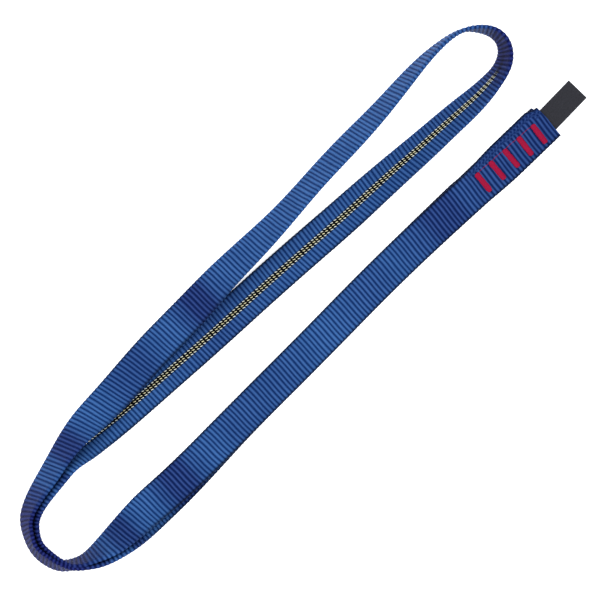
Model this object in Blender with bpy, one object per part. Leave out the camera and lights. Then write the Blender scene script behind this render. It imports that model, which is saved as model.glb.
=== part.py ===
"""A climbing loop sling, laid out on a surface as it is photographed.

One strip of ribbed tubular webbing is closed to an endless loop by a lap joint with five bartacks. The loop
is laid double, with its inside faces together, and the doubled strap is folded once, so that one half carries
the sewn lap and its label, and the other half opens to an eye. In both turns the webbing stands on edge.

The strip is built in the order in which it runs: from the sewn lap beneath the sewn half, round the outside of
the fold, along the outer strand, round the eye, back along the tracer strand, round the inside of the fold, and
over the sewn half to its cut end on top of the lap. +X points from the fold to the eye and the sewn end, +Z up,
and the origin is below the middle of the laid-out sling. All lengths are in metres.
"""

import math

import bmesh
import bpy
import numpy as np
from mathutils import Matrix, Vector

# Webbing
WEBBING_WIDTH = 0.016
WEBBING_THICKNESS = 0.0020
LAYER_GAP = 0.0003

# Laid-out sling
FOLD_TO_END = 0.2963
LAID_WIDTH = 0.0710

# Sewn lap
LAP_LENGTH = 0.0476
LAP_RAMP = 0.0228

# Bartacks
BARTACK_COUNT = 5
BARTACK_LENGTH = 0.0099
BARTACK_WIDTH = 0.0027
BARTACK_FROM_END = 0.0066
BARTACK_FROM_LAP_START = 0.0086
BARTACK_ASIDE = 0.0017
BARTACK_ROW_YAW_DEG = 2.9
BARTACK_SKEW_DEG = 8.0
BARTACK_HEAD = 0.00045
BARTACK_FOOT = 0.00035
BARTACK_RIM = 0.0003
STITCH_CLEARANCE = 0.0003

# Label
LABEL_THICKNESS = 0.0004
LABEL_SHOWN = 0.0196
LABEL_MARGIN = 0.0006
LABEL_TIP = 0.0013
LABEL_RAMP = 0.0030
LABEL_RAMP_CLEARANCE = 0.0012
LABEL_YAW_DEG = 2.0
LABEL_HINGE = 0.0008

# Spacing of the cross-sections
STRAIGHT_STEP = 0.006
BEND_STEP = 0.003
END_STEP = 0.0003
SEARCH_STEP = 0.0005
CUTTER_OVERRUN = 0.001

LAYER_PITCH = WEBBING_THICKNESS + LAYER_GAP
EDGE_RADIUS = WEBBING_THICKNESS / 2
CORE_WIDTH = WEBBING_WIDTH - WEBBING_THICKNESS
LAP_LIFT = BARTACK_FOOT + LAYER_GAP
BARTACK_PITCH = (LAP_LENGTH - BARTACK_FROM_END - BARTACK_FROM_LAP_START) / (BARTACK_COUNT - 1)
LABEL_WIDTH = BARTACK_LENGTH + 2 * LABEL_MARGIN
LABEL_ROOT = BARTACK_FROM_END + BARTACK_WIDTH / 2 + LABEL_TIP
LABEL_LIFT = LABEL_THICKNESS + LAYER_GAP
FOLD_X = -(FOLD_TO_END + LABEL_SHOWN) / 2
END_X = FOLD_X + FOLD_TO_END
FLAT_DEG = 180.0
ON_EDGE_DEG = 90.0

# The stretches of the strip in running order, each with the place along, as a share of FOLD_TO_END, at which
# it gives way to the next. The last one runs on past the end.
FOLD_SHARE = 0.074
EYE_SHARE = 0.905
PAST_END_SHARE = 2
STRETCHES = (
    ("under_strand", FOLD_SHARE),
    ("fold_outer_layer", FOLD_SHARE),
    ("outer_strand", EYE_SHARE),
    ("eye_turn", EYE_SHARE),
    ("tracer_strand", FOLD_SHARE),
    ("fold_inner_layer", FOLD_SHARE),
    ("top_strand", PAST_END_SHARE),
)
STRAIGHT = ("outer_strand", "tracer_strand")

# The lower edge across at the start of the lap and at the cut end, and the middle of the laid-out sling in the
# tables' count across, as shares of LAID_WIDTH. The under strand's slip at the lap, as a share of the webbing's
# width.
LAP_EDGE_SHARE = -0.238
CUT_END_SHARE = -0.243
MIDDLE_SHARE = 0.0044
LAP_SLIP_SHARE = -0.10

# The doubled strap, from near the lap round the fold to the eye half. Each row holds the place of its lower
# edge, along as a share of FOLD_TO_END from the fold and across as a share of LAID_WIDTH, the roll in degrees
# of the outer and of the inner layer, the outer layer's slip to the side as a share of the webbing's width,
# and the slack between the layers as a share of its thickness. A roll of 180 lies flat, 90 stands on edge,
# and less than 90 leans into the bend.
PAIR_SHARES = (
    (0.690, -0.227, 180, 180, 0.00, 0.00),
    (0.620, -0.231, 180, 180, 0.00, 0.00),
    (0.550, -0.239, 180, 180, 0.00, 0.00),
    (0.480, -0.246, 180, 180, 0.00, 0.00),
    (0.410, -0.251, 180, 180, 0.00, 0.00),
    (0.340, -0.257, 180, 180, 0.01, 0.00),
    (0.270, -0.263, 180, 180, 0.04, 0.00),
    (0.215, -0.262, 180, 175, 0.07, 0.05),
    (0.170, -0.260, 176, 156, 0.06, 0.10),
    (0.132, -0.274, 161, 140, 0.02, 0.15),
    (0.097, -0.291, 140, 126, 0.00, 0.20),
    (0.067, -0.299, 116, 109, 0.00, 0.20),
    (0.039, -0.281, 98, 95, 0.00, 0.20),
    (0.019, -0.225, 87, 87, 0.00, 0.20),
    (0.009, -0.137, 83, 83, 0.00, 0.15),
    (0.009, -0.039, 81, 81, 0.00, 0.15),
    (0.017, 0.048, 77, 77, 0.00, 0.15),
    (0.030, 0.125, 74, 74, 0.00, 0.15),
    (0.047, 0.179, 69, 67, 0.00, 0.20),
    (0.072, 0.226, 63, 60, 0.00, 0.20),
    (0.100, 0.262, 58, 53, 0.00, 0.15),
    (0.120, 0.288, 56, 48, 0.00, 0.10),
)

# The outer strand, the eye and the tracer strand: along and across as above, the roll in the running
# direction, and the height of the lower edge over the surface in layers. The outer strand leans on the tracer
# strand, and both lean outwards where the eye opens.
OUTER_SHARES = (
    (0.148, 0.337, 54, 0.45),
    (0.188, 0.374, 37, 0.35),
    (0.237, 0.392, 25, 0.35),
    (0.289, 0.411, 17, 0.35),
    (0.342, 0.428, 14, 0.35),
    (0.412, 0.437, 18, 0.30),
    (0.481, 0.444, 30, 0.10),
    (0.551, 0.438, 41, 0.00),
    (0.621, 0.433, 52, 0.00),
    (0.691, 0.450, 56, 0.00),
    (0.761, 0.465, 56, 0.00),
    (0.831, 0.470, 62, 0.00),
    (0.900, 0.484, 70, 0.00),
)
EYE_SHARES = (
    (0.935, 0.483, 76, 0.00),
    (0.966, 0.470, 82, 0.00),
    (0.989, 0.450, 86, 0.00),
    (1.007, 0.417, 89, 0.00),
    (1.021, 0.362, 93, 0.00),
    (1.031, 0.305, 96, 0.00),
    (1.035, 0.248, 99, 0.00),
    (1.031, 0.196, 102, 0.00),
    (1.023, 0.159, 106, 0.00),
    (1.012, 0.135, 110, 0.00),
    (0.998, 0.122, 115, 0.00),
    (0.980, 0.118, 120, 0.00),
    (0.956, 0.122, 127, 0.00),
)
TRACER_SHARES = (
    (0.928, 0.134, 134, 0.00),
    (0.893, 0.147, 139, 0.00),
    (0.848, 0.160, 145, 0.00),
    (0.796, 0.177, 152, 0.00),
    (0.743, 0.193, 161, 0.00),
    (0.691, 0.205, 171, 0.00),
    (0.621, 0.221, 178, 0.00),
    (0.551, 0.235, 180, 0.00),
    (0.481, 0.245, 180, 0.00),
    (0.412, 0.254, 180, 0.00),
    (0.342, 0.267, 180, 0.00),
    (0.289, 0.277, 180, 0.00),
    (0.237, 0.288, 176, 0.00),
    (0.202, 0.292, 163, 0.00),
    (0.172, 0.292, 150, 0.00),
    (0.148, 0.288, 140, 0.00),
)

# Slack waves of the strands: along as above, and the height of each crest and hollow in shares of the
# webbing's thickness.
SEWN_WAVE_SHARES = ((0.15, 0.0), (0.205, 0.0), (0.265, 0.60), (0.34, 0.25), (0.387, 0.45), (0.425, 0.40),
                    (0.474, 0.60), (0.62, 0.0), (0.663, 0.30), (0.712, 0.05), (0.75, 0.25), (0.785, 0.0))
OUTER_WAVE_SHARES = ((0.12, 0.0), (0.185, 0.40), (0.262, 0.0), (0.342, 0.30), (0.405, 0.05), (0.475, 0.70),
                     (0.62, 0.10), (0.70, 0.0))

WAVES = {"under_strand": SEWN_WAVE_SHARES, "top_strand": SEWN_WAVE_SHARES, "outer_strand": OUTER_WAVE_SHARES}

# What raises the strands of the sewn half: the distance from the sewn end at which each is all the way up,
# the length of the ramp before that, and the height.
RISES = {
    "under_strand": ((LAP_LENGTH, LAP_RAMP, LAP_LIFT),),
    "top_strand": (
        (LAP_LENGTH, LAP_RAMP, LAP_LIFT + LAYER_PITCH),
        (LABEL_ROOT + LABEL_RAMP_CLEARANCE, LABEL_RAMP, LABEL_LIFT),
    ),
}

NAVY = (0.035, 0.110, 0.420)
CRIMSON = (0.560, 0.015, 0.060)
LABEL_BLACK = (0.012, 0.012, 0.014)


def clear_scene():
    """Removes whatever the scene holds."""
    for obj in list(bpy.data.objects):
        bpy.data.objects.remove(obj)


def new_collection(name, hidden=False):
    """A collection of that name in the scene."""
    collection = bpy.data.collections.new(name)
    collection.hide_render = hidden
    bpy.context.scene.collection.children.link(collection)
    return collection


def material(name, color, roughness):
    """A plain Principled material."""
    made = bpy.data.materials.new(name)
    made.use_nodes = True
    made.diffuse_color = (*color, 1)
    shader = made.node_tree.nodes["Principled BSDF"]
    shader.inputs["Base Color"].default_value = (*color, 1)
    shader.inputs["Roughness"].default_value = roughness
    shader.inputs["Metallic"].default_value = 0
    return made


def link(obj, collection, look=None):
    """Puts the object in the collection, with its material."""
    collection.objects.link(obj)
    if look:
        obj.data.materials.append(look)
    return obj


def hang_on(obj, axis_empty):
    """Parents the object to a joint's empty and leaves it where it is."""
    obj.parent = axis_empty
    obj.matrix_parent_inverse = axis_empty.matrix_world.inverted()
    return obj


def spline_through(knots, values, at):
    """A natural cubic spline through the values at the knots: its slope and its curvature run on without a step."""
    step = np.diff(knots)
    slope = np.diff(values, axis=0) / step[:, None]
    system = np.eye(len(knots))
    pull = np.zeros_like(values)
    for i in range(1, len(step)):
        system[i, i - 1 : i + 2] = step[i - 1], 2 * (step[i - 1] + step[i]), step[i]
        pull[i] = 6 * (slope[i] - slope[i - 1])
    bend = np.linalg.solve(system, pull)
    cell = np.clip(np.searchsorted(knots, at) - 1, 0, len(step) - 1)
    width = step[cell][:, None]
    left = (at - knots[cell])[:, None]
    right = width - left
    curved = (bend[cell] * right**3 + bend[cell + 1] * left**3) / (6 * width)
    before = (values[cell] / width - bend[cell] * width / 6) * right
    after = (values[cell + 1] / width - bend[cell + 1] * width / 6) * left
    return curved + before + after


def smooth_steps(knots, values, at):
    """Passes from each value to the next on a soft S, level at every knot."""
    cell = np.clip(np.searchsorted(knots, at) - 1, 0, len(knots) - 2)
    share = np.clip((at - knots[cell]) / (knots[cell + 1] - knots[cell]), 0, 1)
    return values[cell] + (values[cell + 1] - values[cell]) * share * share * (3 - 2 * share)


def unit(vectors):
    """The vectors at length one."""
    return vectors / np.linalg.norm(vectors, axis=1)[:, None]


def upright_frame(line):
    """At each point of a line, the way ahead, the level direction to its right, and the one above both."""
    ahead = unit(np.gradient(line, axis=0))
    right = unit(np.cross(ahead, (0, 0, 1)))
    return ahead, right, np.cross(right, ahead)


def across_of(line, roll):
    """The direction across the webbing, from its lower to its upper edge, at each point of a line."""
    ahead, right, up = upright_frame(line)
    angle = np.radians(roll)[:, None]
    return np.cos(angle) * right + np.sin(angle) * up, ahead


def roll_about(line, across):
    """The roll at each point of a line that gives the direction across the webbing."""
    _, right, up = upright_frame(line)
    return np.degrees(np.arctan2((across * up).sum(axis=1), (across * right).sum(axis=1)))


def on_ground(along_share, across_share):
    """A plan place, from its shares of the sling's length and width."""
    return FOLD_X + along_share * FOLD_TO_END, (across_share - MIDDLE_SHARE) * LAID_WIDTH


def dense(rows, step):
    """Rows at an even step along a spline through the given rows."""
    hops = np.linalg.norm(np.diff(rows[:, :2], axis=0), axis=1)
    knots = np.concatenate([[0], np.cumsum(hops)])
    return spline_through(knots, rows, np.linspace(0, knots[-1], round(knots[-1] / step) + 1))


def pair_rows():
    """The lower edges of the outer and of the inner layer of the doubled strap, each with its roll. Both are
    set off to either side of one middle line, so that the gap between the layers is the same all the way."""
    lap_share = 1 - (LAP_LENGTH + 2 * LAYER_GAP) / FOLD_TO_END
    lap_start = (lap_share, LAP_EDGE_SHARE, FLAT_DEG, FLAT_DEG, LAP_SLIP_SHARE, 0)
    table = np.array((lap_start, *PAIR_SHARES))
    x, y = on_ground(table[:, 0], table[:, 1])
    table = dense(np.column_stack([x, y, table[:, 2:]]), BEND_STEP)
    outer_roll, inner_roll, slip = table[:, 2], table[:, 3], table[:, 4] * WEBBING_WIDTH
    middle = np.column_stack([table[:, :2], np.zeros_like(slip)])
    across, ahead = across_of(middle, (outer_roll + inner_roll) / 2)
    apart = np.cross(ahead, across) * (LAYER_PITCH + table[:, 5:] * WEBBING_THICKNESS) / 2
    middle[:, 2] = EDGE_RADIUS + np.abs(apart[:, 2])
    outer = middle - apart
    outer[:, 1] -= slip
    inner = middle + apart
    return np.column_stack([outer, outer_roll]), np.column_stack([inner, FLAT_DEG - inner_roll])[::-1]


def strand_rows(shares):
    """Rows of one strand alone: its lower edge and its roll."""
    table = np.array(shares)
    x, y = on_ground(table[:, 0], table[:, 1])
    return np.column_stack([x, y, EDGE_RADIUS + table[:, 3] * LAYER_PITCH, table[:, 2]])


def cut_end_row():
    """The cut end of the strip, on top of the lap. The row's roll is that of the way back to the sewn end."""
    x, y = on_ground(1, CUT_END_SHARE)
    return np.array([(x, y, EDGE_RADIUS + LAYER_PITCH, 0)])


def lap_top():
    """The height of the top face of the hairpin in the lap."""
    return LAP_LIFT + LAYER_PITCH + WEBBING_THICKNESS


def webbing_rows():
    """All rows of the strip in running order, and the running length at each."""
    outer, inner = pair_rows()
    singles = [strand_rows(shares) for shares in (OUTER_SHARES, EYE_SHARES, TRACER_SHARES)]
    rows = np.concatenate([outer, *singles, inner, cut_end_row()])
    hops = np.linalg.norm(np.diff(rows[:, :3], axis=0), axis=1)
    return rows, np.concatenate([[0], np.cumsum(hops)])


def stretch_spans(rows, knots):
    """Where each stretch of the strip starts and ends, in running length."""
    at = np.arange(0, knots[-1], SEARCH_STEP)
    along_share = (spline_through(knots, rows, at)[:, 0] - FOLD_X) / FOLD_TO_END
    spans = {}
    start = 0
    for name, end_share in STRETCHES:
        crossed = np.flatnonzero(np.diff(np.sign(along_share[start:] - end_share)))
        end = start + crossed[0] + 1 if len(crossed) else len(at) - 1
        spans[name] = (at[start] + LAYER_GAP / 2, at[end] - LAYER_GAP / 2)
        start = end
    return spans


def smooth_rise(x, from_end, ramp, height):
    """A soft step up that is done at that distance from the sewn end."""
    top = END_X - from_end
    return smooth_steps(np.array([top - ramp, top]), np.array([0, height]), x)


def lift_strand(name, x):
    """How far a strand is raised at x: its slack waves, and what lies below it in the lap."""
    lift = np.zeros_like(x)
    if name in WAVES:
        knots, heights = np.array(WAVES[name]).T
        lift += smooth_steps(knots, heights, (x - FOLD_X) / FOLD_TO_END) * WEBBING_THICKNESS
    for from_end, ramp, height in RISES.get(name, ()):
        lift += smooth_rise(x, from_end, ramp, height)
    return lift


def stretch_line(rows, knots, span, name):
    """Points along the middle of one stretch of the webbing, with the roll at each."""
    start, end = span
    count = round((end - start) / (STRAIGHT_STEP if name in STRAIGHT else BEND_STEP)) + 1
    at = np.concatenate([[start], np.linspace(start + END_STEP, end - END_STEP, count), [end]])
    found = spline_through(knots, rows, at)
    edge, roll = found[:, :3], found[:, 3]
    edge[:, 2] += lift_strand(name, edge[:, 0])
    across, _ = across_of(edge, roll)
    middle = edge + across * CORE_WIDTH / 2
    return middle, roll_about(middle, across)


def ribbon(name, middle, roll, collection, look):
    """A flat strap with round edges along a line: a curve with the webbing's core width and edge radius.
    The curve's twist is held upright, so that a strap without tilt stands on edge."""
    data = bpy.data.curves.new(name, "CURVE")
    data.dimensions = "3D"
    data.twist_mode = "Z_UP"
    data.extrude = CORE_WIDTH / 2
    data.bevel_depth = EDGE_RADIUS
    data.bevel_resolution = 1
    data.use_fill_caps = True
    line = data.splines.new("POLY")
    line.points.add(len(middle) - 1)
    for point, place, angle in zip(line.points, middle, roll):
        point.co = (*place, 1)
        point.tilt = math.radians(ON_EDGE_DEG - angle)
    return link(bpy.data.objects.new(name, data), collection, look)


def as_mesh(obj, collection):
    """The same shape as a closed mesh, so that it can be cut."""
    bpy.context.view_layer.update()
    graph = bpy.context.evaluated_depsgraph_get()
    mesh = bpy.data.meshes.new_from_object(obj.evaluated_get(graph))
    shell = bmesh.new()
    shell.from_mesh(mesh)
    bmesh.ops.remove_doubles(shell, verts=shell.verts, dist=WEBBING_THICKNESS / 1000)
    shell.to_mesh(mesh)
    shell.free()
    name = obj.name
    place = obj.matrix_world.copy()
    bpy.data.objects.remove(obj)
    solid = bpy.data.objects.new(name, mesh)
    solid.matrix_world = place
    collection.objects.link(solid)
    return solid


def box(name, size, centre, turn_deg, pivot, collection, look=None):
    """A box of that size, turned about an upright line through the pivot."""
    mesh = bpy.data.meshes.new(name)
    shell = bmesh.new()
    bmesh.ops.create_cube(shell, size=1, matrix=Matrix.Translation(centre - pivot) @ Matrix.Diagonal((*size, 1)))
    shell.to_mesh(mesh)
    shell.free()
    obj = bpy.data.objects.new(name, mesh)
    obj.location = pivot
    obj.rotation_euler.z = math.radians(turn_deg)
    return link(obj, collection, look)


def helper_look(obj):
    """Marks an object as a cutter."""
    obj.hide_render = True
    obj.display_type = "WIRE"
    return obj


def boolean(obj, other, operation):
    """Cuts the object with another, or joins it to that."""
    step = obj.modifiers.new(operation.lower(), "BOOLEAN")
    step.operation = operation
    step.object = other


def strap_middle_y():
    """The middle of the top strand across, at its cut end."""
    return on_ground(1, CUT_END_SHARE)[1] - CORE_WIDTH / 2


def bartack_place(index):
    """The middle of a bartack on the ground, counted from the sewn end."""
    back = BARTACK_FROM_END + index * BARTACK_PITCH
    y = strap_middle_y() - BARTACK_ASIDE + math.tan(math.radians(BARTACK_ROW_YAW_DEG)) * index * BARTACK_PITCH
    return Vector((END_X - back, y, 0))


def top_face_height(x):
    """The highest place of the top strand's upper face below a bartack at x."""
    under = np.array([x - BARTACK_WIDTH, x, x + BARTACK_WIDTH])
    return EDGE_RADIUS + LAYER_PITCH + EDGE_RADIUS + float(lift_strand("top_strand", under).max())


def slot_cutter(cutters):
    """One upright slot for each bartack, through every layer of the lap."""
    length = BARTACK_LENGTH - 2 * BARTACK_RIM
    width = BARTACK_WIDTH - 2 * BARTACK_RIM
    height = lap_top() + 2 * LAYER_PITCH + 2 * CUTTER_OVERRUN
    slots = bpy.data.meshes.new("bartack_slots")
    shell = bmesh.new()
    for index in range(BARTACK_COUNT):
        place = Matrix.Translation(bartack_place(index) + Vector((0, 0, height / 2 - CUTTER_OVERRUN)))
        skew = Matrix.Rotation(math.radians(-BARTACK_SKEW_DEG), 4, "Z")
        bmesh.ops.create_cube(shell, size=1, matrix=place @ skew @ Matrix.Diagonal((width, length, height, 1)))
    shell.to_mesh(slots)
    shell.free()
    return helper_look(link(bpy.data.objects.new("bartack_slots", slots), cutters))


def bartack(number, collection, cutters, look):
    """A block of satin stitches: a head on the top layer, the threads through the slot, and a foot beneath."""
    index = BARTACK_COUNT - number
    place = bartack_place(index)
    name = f"bartack_{number}"
    face = top_face_height(place.x) + LAYER_GAP
    inset = BARTACK_RIM + STITCH_CLEARANCE
    thread_length = BARTACK_LENGTH - 2 * inset
    thread_width = BARTACK_WIDTH - 2 * inset
    low = BARTACK_FOOT / 2
    high = face + BARTACK_HEAD / 2
    head_size = Vector((BARTACK_WIDTH, BARTACK_LENGTH, BARTACK_HEAD))
    foot_size = Vector((BARTACK_WIDTH, BARTACK_LENGTH, BARTACK_FOOT))
    thread_size = Vector((thread_width, thread_length, high - low))
    turn = -BARTACK_SKEW_DEG
    lift = Vector((0, 0, 1))
    head = box(name, head_size, place + lift * (face + BARTACK_HEAD / 2), turn, place, collection, look)
    foot = box(f"{name}_foot", foot_size, place + lift * BARTACK_FOOT / 2, turn, place, cutters)
    threads = box(f"{name}_threads", thread_size, place + lift * (low + high) / 2, turn, place, cutters)
    for piece in (threads, foot):
        boolean(head, helper_look(piece), "UNION")
    return head


def hairpin(collection, look):
    """The hidden end of the strip in the lap: the middle layer, the turn at the sewn end and the bottom layer,
    as an outline seen from the side, carried across by the webbing's width."""
    middle = LAP_LIFT + EDGE_RADIUS + LAYER_PITCH / 2
    outside = LAYER_PITCH / 2 + EDGE_RADIUS
    inside = LAYER_PITCH / 2 - EDGE_RADIUS
    angles = [math.radians(a) for a in range(-90, 91, 15)]
    outline = [(-LAP_LENGTH, middle - outside)]
    outline += [(outside * (math.cos(a) - 1), middle + outside * math.sin(a)) for a in angles]
    outline += [(-LAP_LENGTH, middle + outside), (-LAP_LENGTH, middle + inside)]
    outline += [(inside * math.cos(a) - outside, middle + inside * math.sin(a)) for a in reversed(angles)]
    outline += [(-LAP_LENGTH, middle - inside)]
    data = bpy.data.curves.new("lap_hairpin", "CURVE")
    data.dimensions = "2D"
    data.fill_mode = "BOTH"
    data.extrude = WEBBING_WIDTH / 2
    line = data.splines.new("POLY")
    line.points.add(len(outline) - 1)
    for point, (x, z) in zip(line.points, outline):
        point.co = (x, z, 0, 1)
    line.use_cyclic_u = True
    obj = link(bpy.data.objects.new("lap_hairpin", data), collection, look)
    obj.location = (END_X, strap_middle_y() - LAP_SLIP_SHARE * WEBBING_WIDTH, 0)
    obj.rotation_euler.x = math.radians(ON_EDGE_DEG)
    return obj


def label(collection, look):
    """The woven label: its root in the lap, and the tab that stands out of the sewn end."""
    pivot = Vector((END_X + LABEL_HINGE, strap_middle_y(), lap_top() + LAYER_GAP + LABEL_THICKNESS / 2))
    root_length = LABEL_ROOT + LABEL_HINGE - LAYER_GAP
    root_size = Vector((root_length, LABEL_WIDTH, LABEL_THICKNESS))
    root_centre = pivot - Vector((LAYER_GAP + root_length / 2, 0, 0))
    tab_length = LABEL_SHOWN - LABEL_HINGE
    tab_size = Vector((tab_length, LABEL_WIDTH, LABEL_THICKNESS))
    tab_centre = pivot + Vector((tab_length / 2, 0, 0))
    root = box("label_root", root_size, root_centre, LABEL_YAW_DEG, pivot, collection, look)
    tab = box("label_tab", tab_size, tab_centre, LABEL_YAW_DEG, pivot, collection, look)
    return root, tab


def axis_empty(name, place, collection):
    """An empty on a joint's axis."""
    empty = bpy.data.objects.new(name, None)
    empty.location = place
    empty.empty_display_size = WEBBING_WIDTH
    return link(empty, collection)


def fold_axis_place(middle):
    """The fold opens about an upright line through the webbing at the far point of its bend."""
    far = middle[np.argmin(middle[:, 0])]
    return Vector((far[0] + LAYER_PITCH / 2, far[1], 0))


def build():
    """The whole sling."""
    clear_scene()
    sling = new_collection("climbing_loop_sling")
    cutters = new_collection("cutters", hidden=True)
    webbing = material("ribbed_webbing", NAVY, 0.62)
    thread = material("bartack_thread", CRIMSON, 0.5)
    woven = material("woven_label", LABEL_BLACK, 0.7)
    rows, knots = webbing_rows()
    straps = {}
    lines = {}
    total = 0
    for name, span in stretch_spans(rows, knots).items():
        lines[name] = stretch_line(rows, knots, span, name)
        straps[name] = ribbon(name, *lines[name], sling, webbing)
        total += np.linalg.norm(np.diff(lines[name][0], axis=0), axis=1).sum()
    print("webbing laid out, without the lap: %.3f m" % total)
    root, tab = label(sling, woven)
    slots = slot_cutter(cutters)
    top = as_mesh(straps["top_strand"], sling)
    lap = as_mesh(hairpin(sling, webbing), sling)
    for layer in (top, lap, root):
        boolean(layer, slots, "DIFFERENCE")
    tacks = [bartack(number, sling, cutters, thread) for number in range(1, BARTACK_COUNT + 1)]
    fold_axis = axis_empty("fold_axis", fold_axis_place(lines["fold_outer_layer"][0]), sling)
    label_axis = axis_empty("label_axis", tab.location, sling)
    bpy.context.view_layer.update()
    print("fold axis", [round(v, 5) for v in fold_axis.location])
    print("label axis", [round(v, 5) for v in label_axis.location])
    hang_on(tab, label_axis)
    for piece in [top, straps["under_strand"], lap, root, label_axis] + tacks:
        hang_on(piece, fold_axis)


build()
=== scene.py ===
"""A climbing loop sling: the looks of the finished part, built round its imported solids.

It is one strip of ribbed tubular nylon, closed to a loop by a sewn lap and laid out double and folded. The cells go
from the camera to the strip, its ribs and tracer, the bartacks, the label and the light.
"""

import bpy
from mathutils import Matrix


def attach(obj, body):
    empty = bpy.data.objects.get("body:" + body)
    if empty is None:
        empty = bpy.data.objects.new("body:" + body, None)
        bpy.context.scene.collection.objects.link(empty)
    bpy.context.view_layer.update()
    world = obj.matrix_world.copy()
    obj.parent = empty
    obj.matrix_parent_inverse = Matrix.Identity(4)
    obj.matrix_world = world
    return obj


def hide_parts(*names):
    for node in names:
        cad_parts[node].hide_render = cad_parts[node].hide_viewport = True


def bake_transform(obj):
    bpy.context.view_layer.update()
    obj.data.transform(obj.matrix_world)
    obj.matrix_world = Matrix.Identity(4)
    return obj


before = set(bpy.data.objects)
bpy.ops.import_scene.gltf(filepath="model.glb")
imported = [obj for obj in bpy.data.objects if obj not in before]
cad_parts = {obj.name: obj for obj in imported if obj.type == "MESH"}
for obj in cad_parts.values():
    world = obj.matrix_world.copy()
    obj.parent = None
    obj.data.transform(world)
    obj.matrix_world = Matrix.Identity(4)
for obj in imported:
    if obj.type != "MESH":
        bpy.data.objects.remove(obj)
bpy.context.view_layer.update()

import math

import bpy
import numpy as np

# %% [markdown]
# The camera comes first, because every later choice is judged through it. The sling was photographed from straight
# above, lying at 44 degrees across a square picture. A long lens, far off, keeps the webbing that stands on edge
# from spreading at the picture's sides.

# %% The camera
PICTURE_SPAN = 0.2642
PICTURE_CENTRE = (0.00536, -0.00579)
PICTURE_TURN_DEG = -44
FOCUS_HEIGHT = 0.005
LENS_MM = 400
SENSOR_MM = 36


def new_object(name, data):
    """An object of the scene, at the origin."""
    obj = bpy.data.objects.new(name, data)
    bpy.context.scene.collection.objects.link(obj)
    return obj


def overhead_camera():
    """Looks straight down from the distance at which the lens takes in the span: span * lens / sensor."""
    distance = PICTURE_SPAN * LENS_MM / SENSOR_MM
    data = bpy.data.cameras.new("overhead_camera")
    data.lens, data.sensor_width = LENS_MM, SENSOR_MM
    data.clip_start, data.clip_end = distance / 100, distance * 100
    camera = new_object("overhead_camera", data)
    camera.location = (*PICTURE_CENTRE, FOCUS_HEIGHT + distance)
    camera.rotation_euler = (0, 0, math.radians(PICTURE_TURN_DEG))
    bpy.context.scene.camera = camera
    return distance


print("camera height: %.2f m" % overhead_camera())

# %% [markdown]
# The route of the webbing. The strip runs from the lap beneath the sewn half, round the outside of the fold, along
# the outer strand, round the eye, back along the tracer strand, round the inside of the fold and over the sewn half
# to its cut end. Each row of a table holds the place of the webbing's lower edge and its roll: 180 degrees lies flat
# and 90 stands on edge. The rows are nearly the solids' own. They differ where the soft strap does what plain solids
# can't: in the fold the layers lie closer, climb and lean more, and in the twist their lower edges part; next to it
# the strands lean a little otherwise; the eye's far end leans outwards, and the lap's layers are shifted.

# %% Sizes of the webbing and the laid-out sling
WEBBING_WIDTH = 0.016
WEBBING_THICKNESS = 0.002
LAYER_GAP = 0.0003
FOLD_TO_END = 0.2963
LAID_WIDTH = 0.071
LAP_LENGTH = 0.0476
LAP_RAMP = 0.0228
STITCH_FOOT = 0.00035
BARTACK_COUNT = 5
BARTACK_LENGTH = 0.0099
BARTACK_WIDTH = 0.0027
BARTACK_FROM_END = 0.0066
BARTACK_FROM_LAP_START = 0.0086
BARTACK_ASIDE = 0.0017
BARTACK_ROW_YAW_DEG = 2.9
# Each bartack's own lean in the photo. The solids all lean 8 degrees.
BARTACK_LEANS_DEG = (4.6, 3.3, 3.2, 5.3, 6.5)
LABEL_THICKNESS = 0.0004
LABEL_SHOWN = 0.0196
LABEL_MARGIN = 0.0006
LABEL_TIP = 0.0013
LABEL_YAW_DEG = 2
LABEL_HINGE = 0.0008
LABEL_RAMP = 0.003
LABEL_RAMP_CLEARANCE = 0.0012

LAYER_PITCH = WEBBING_THICKNESS + LAYER_GAP
EDGE_RADIUS = WEBBING_THICKNESS / 2
CORE_WIDTH = WEBBING_WIDTH - WEBBING_THICKNESS
LAP_LIFT = STITCH_FOOT + LAYER_GAP
BARTACK_PITCH = (LAP_LENGTH - BARTACK_FROM_END - BARTACK_FROM_LAP_START) / (BARTACK_COUNT - 1)
LABEL_WIDTH = BARTACK_LENGTH + 2 * LABEL_MARGIN
LABEL_ROOT = BARTACK_FROM_END + BARTACK_WIDTH / 2 + LABEL_TIP
LABEL_LIFT = LABEL_THICKNESS + LAYER_GAP
FOLD_X = -(FOLD_TO_END + LABEL_SHOWN) / 2
END_X = FOLD_X + FOLD_TO_END
FLAT_DEG = 180

LAP_EDGE_SHARE = -0.238
CUT_END_SHARE = -0.243
MIDDLE_SHARE = 0.0044
LAP_SLIP_SHARE = -0.05

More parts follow.
